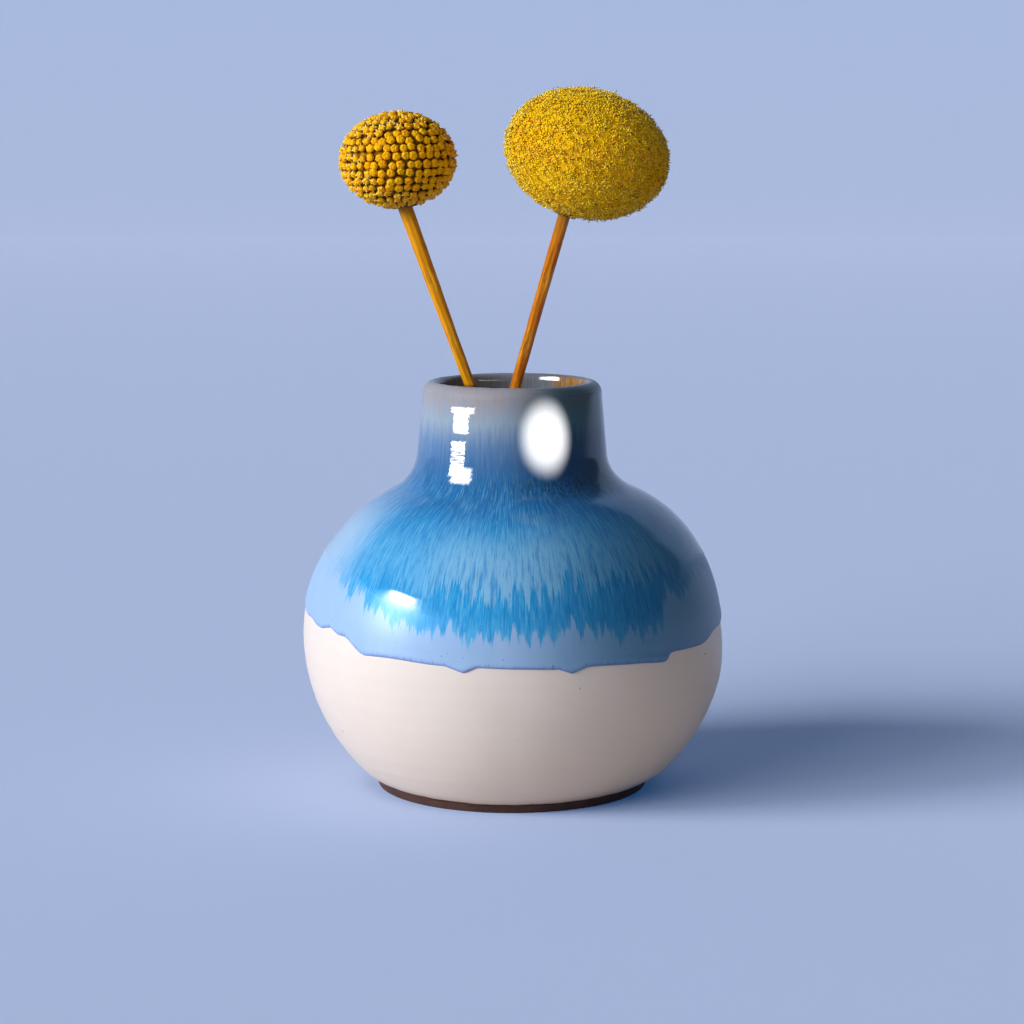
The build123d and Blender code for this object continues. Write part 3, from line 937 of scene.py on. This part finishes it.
right_head = Head("right_florets", "right_flower", RIGHT_MOUTH, lean=14.0, fullness=1.01)
spots, normals = right_head.spiral(2600, 0.72 * MM)
spots = spots + np.random.default_rng(53).normal(0, 0.16 * MM, spots.shape)
spots, normals = right_head.clear_of_stem(spots, normals, 1.6 * MM)
columned = [flower_template(seed) for seed in range(60, 68)]
plain = [open_petals(seed) for seed in range(60, 68)]
# florets round the head's rim, as seen from the front, get paler tips: partly the petals' own pale tips,
# partly painted sheen
rim_sheen_florets = [open_petals(seed, paleness=1.35) for seed in range(60, 68)]
right_templates = []
for normal in normals:
    if abs(normal @ right_head.axis) < COLUMN_BAND and -normal[1] > COLUMNS_FACE_FRONT:
        right_templates.append(columned)
    else:
        right_templates.append(plain if -normal[1] > PLAIN_FACE_FRONT else rim_sheen_florets)
right_flowers = scatter(
    "right_open_florets", spots, normals, right_templates, 52, size_spread=0.15, tilt=0.22
)
stand_in(right_flowers, open_floret_material(), "right_florets", "right_flower")
golden = core_material("right_core", (0.64, 0.31, 0.002), (1.0, 0.62, 0.006))
place_core("right_floret_core", right_head, 0.72 * MM, golden, "right_flower")


# ---- Studio ----
KEY_ELEVATION = 22.0
KEY_SUNS = {"key_sun_far": (-74.0, 2.1), "key_sun_middle": (-56.0, 1.15), "key_sun_near": (-36.0, 0.6)}
KEY_SOFTNESS = 22.0
AMBIENT_SHARE = 0.15
PAPER_GLOW = 0.11
WORLD_COLOUR = (0.092, 0.096, 0.101)
CARD_POWER = 40.0
CARDS_FACE_HEIGHT = VASE_HEIGHT * 0.6


def bearing(azimuth, elevation):
    """Unit vector from the vase to a direction: azimuth from the front, positive to the right."""
    turn, lift = math.radians(azimuth), math.radians(elevation)
    return Vector((math.sin(turn) * math.cos(lift), -math.cos(turn) * math.cos(lift), math.sin(lift)))


def paper_material():
    """Pale blue paper, toned so that the key light leaves floor and wall alike; it bounces warm white."""
    s = Shader("studio_paper")
    power = sum(share for _, share in KEY_SUNS.values())
    suns = [bearing(azimuth, KEY_ELEVATION) * share / power for azimuth, share in KEY_SUNS.values()]
    towards_key = sum(suns, Vector((0, 0, 0)))
    normal = s.node("ShaderNodeNewGeometry", {}).outputs["Normal"]
    facing = s.node("ShaderNodeVectorMath", {0: normal, 1: towards_key}, operation="DOT_PRODUCT")
    lit = s.math("ADD", facing.outputs["Value"], AMBIENT_SHARE)
    tone = s.math("DIVIDE", towards_key.z + AMBIENT_SHARE, lit)
    level = s.parts(normal)["Z"]
    paper = s.mix(level, (0.585, 0.73, 0.98), (0.625, 0.715, 0.97))
    bounced = s.ray("Is Diffuse Ray")
    paper = s.mix(bounced, paper, (0.67, 0.58, 0.51))
    glow = s.product(s.math("SUBTRACT", 1.0, bounced), PAPER_GLOW)
    return s.finish(
        Base_Color=s.mix(tone, (0, 0, 0), paper),
        Roughness=1.0,
        Specular_IOR_Level=0.0,
        Emission_Color=(0.0, 0.32, 1.0),
        Emission_Strength=glow,
    )


def make_sweep():
    """A seamless floor that curves up into a wall far behind."""
    half_width, front, back, bend, top, steps = 4.0, -2.5, 2.2, 0.8, 3.0, 60
    curve = [(front, 0.0), (back, 0.0)]
    for step in range(1, steps + 1):
        turn = math.radians(90 * step / steps)
        curve.append((back + bend * math.sin(turn), bend * (1 - math.cos(turn))))
    curve.append((back + bend, top))
    vertices = np.array([(x, y, z) for y, z in curve for x in (-half_width, half_width)])
    faces = [(2 * i, 2 * i + 1, 2 * i + 3, 2 * i + 2) for i in range(len(curve) - 1)]
    sweep = mesh_of_faces("studio_sweep", vertices, faces)
    give(sweep, paper_material())


def add_sun(name, azimuth, elevation, power, softness):
    """A soft sun that glossy surfaces do not mirror."""
    lamp = bpy.data.lights.new(name, "SUN")
    lamp.energy = power
    lamp.angle = math.radians(softness)
    sun = bpy.data.objects.new(name, lamp)
    sun.rotation_euler = bearing(azimuth, elevation).to_track_quat("Z", "Y").to_euler()
    sun.visible_glossy = False
    bpy.context.scene.collection.objects.link(sun)


# where on the vase a card is mirrored, and which height of the card, -1 to 1
Spot = namedtuple("Spot", "turn up reach card_up")


def mirrored_from(s):
    """The spot that mirrors a card: degrees round the vase's axis, mm up and mm from the axis."""
    geometry = s.node("ShaderNodeNewGeometry", {}).outputs
    length = s.ray("Ray Length")
    back = s.node("ShaderNodeVectorMath", {0: geometry["Incoming"], "Scale": length}, operation="SCALE")
    feeds = {0: geometry["Position"], 1: back.outputs[0]}
    spot = s.node("ShaderNodeVectorMath", feeds, operation="ADD").outputs[0]
    x, y, z = s.parts(spot)
    turn = s.math("DEGREES", s.math("ARCTAN2", x, s.product(y, -1.0)))
    reach = s.math("SQRT", s.math("ADD", s.product(x, x), s.product(y, y)))
    return turn, s.product(z, 1 / MM), s.product(reach, 1 / MM)


def add_card(name, azimuth, elevation, distance, size, glow):
    """A card that only glossy surfaces mirror; its glow says how bright it looks from each spot."""
    width, height = size
    signs = ((-1, -1), (1, -1), (1, 1), (-1, 1))
    corners = np.array([(x * width / 2, y * height / 2, 0) for x, y in signs])
    card = mesh_of_faces(name, corners, [(0, 1, 2, 3)])
    towards = bearing(azimuth, elevation)
    card.location = Vector((0, 0, CARDS_FACE_HEIGHT)) + towards * distance
    card.rotation_euler = towards.to_track_quat("Z", "Y").to_euler()
    s = Shader(name)
    card_up = s.parts(s.place())["Y"]
    light = glow(s, Spot(*mirrored_from(s), s.product(card_up, 2 / height)))
    seen = s.math("LESS_THAN", s.ray("Diffuse Depth"), 0.5)
    light = s.product(light, seen, CARD_POWER)
    lit = s.math("GREATER_THAN", light, 0.01)
    look = dict(Base_Color=(0, 0, 0), Emission_Color=(1, 1, 1), Emission_Strength=light, Alpha=lit)
    give(card, s.finish(**look))
    s.material.cycles.emission_sampling = "NONE"
    card.visible_camera = False
    card.visible_diffuse = False
    card.visible_shadow = False


def between(s, value, low, high, soft):
    """One between low and high, zero outside."""
    return s.product(s.span(value, low - soft, low + soft), s.span(value, high + soft, high - soft))


def window_on_belly(s, spot):
    """A window pane, brightest at the top, that only the belly mirrors."""
    return s.product(s.span(spot.card_up, -1, 0.9, 0.06, 1.0), s.span(spot.up, 57, 55))


# each pane on the neck: from and to in degrees with a softness, then from and to in mm with a softness
PANES = (
    (-38.3, -27.6, 0.5, 69.1, 73.7, 0.2),
    (-39.2, -29.3, 0.5, 61.2, 67.5, 0.2),
    (-40.2, -24.0, 1.5, 72.8, 73.8, 0.2),
    (-36.4, -24.2, 1.5, 60.1, 62.7, 0.4),
)


def window_on_neck(s, spot):
    """Two torn panes on the neck, wider at the top and the foot, and one inside the mouth."""
    place = s.node("ShaderNodeCombineXYZ", {0: s.product(spot.turn, 0.35), 1: spot.up}).outputs[0]
    scratch = s.noise(place, 1.6, 4, 0.7)
    torn = s.math("ADD", spot.turn, s.swing(scratch, 6))
    high = s.math("ADD", spot.up, s.swing(scratch, 0.9))
    panes = 0.0
    for pane in PANES:
        lit = s.product(between(s, torn, *pane[:3]), between(s, high, *pane[3:]))
        panes = s.math("MAXIMUM", panes, lit)
    rows = s.noise(s.scaled(place, (0.3, 2.6, 1)), 1.4, 2, 0.6)
    # the lower pane's painted glint is dimmed in streaks across this band
    glint_streaks = s.product(between(s, spot.up, 63.2, 66.2, 0.8), s.span(rows, 0.46, 0.56))
    outside = s.product(panes, s.math("SUBTRACT", 0.85, s.product(glint_streaks, 0.7)))
    inside = s.product(between(s, spot.turn, 140, 157, 2), s.span(spot.reach, 16.2, 15.8))
    return s.math("MAXIMUM", outside, inside)


def softbox_on_neck(s, spot):
    """A lamp's oval glare on the neck, full in the middle and faded out at its edge."""
    across = s.math("DIVIDE", s.math("SUBTRACT", spot.turn, 20.8), 17.2)
    over = s.math("DIVIDE", s.math("SUBTRACT", spot.up, 68.5), 7.4)
    away = s.math("SQRT", s.math("ADD", s.product(across, across), s.product(over, over)))
    return s.product(s.span(away, 1.12, 0.42), s.span(spot.reach, 15.6, 16.0), 0.66)


def softbox_in_mouth(s, spot):
    """The lamp's low edge, mirrored only inside the mouth."""
    return s.span(spot.reach, 16.0, 15.6)


make_sweep()
for sun_name, (sun_azimuth, sun_power) in KEY_SUNS.items():
    add_sun(sun_name, sun_azimuth, KEY_ELEVATION, sun_power, KEY_SOFTNESS)
add_card("window", -70.0, 14.5, 1.5, (0.47, 0.83), window_on_belly)
add_card("window_glint", -64.0, 24.0, 1.5, (1.6, 2.0), window_on_neck)
add_card("softbox_glint", 42.0, 20.0, 1.0, (2.6, 1.5), softbox_on_neck)
add_card("softbox", 42.0, 3.87, 1.0, (1.36, 0.04), softbox_in_mouth)

world = bpy.data.worlds.new("studio")
world.use_nodes = True
world.node_tree.nodes["Background"].inputs["Color"].default_value = (*WORLD_COLOUR, 1)
bpy.context.scene.world = world

CAMERA_DISTANCE = 527.4 * MM
CAMERA_HEIGHT = 128.6 * MM
CAMERA_PITCH = 8.23
CAMERA_LENS = 98.44
camera_data = bpy.data.cameras.new("camera")
camera_data.lens = CAMERA_LENS
camera_data.sensor_width = 36.0
camera = bpy.data.objects.new("camera", camera_data)
camera.location = (0, -CAMERA_DISTANCE, CAMERA_HEIGHT)
camera.rotation_euler = (math.radians(90 - CAMERA_PITCH), 0, 0)
bpy.context.scene.collection.objects.link(camera)
bpy.context.scene.camera = camera
bpy.context.scene.view_settings.view_transform = "Standard"
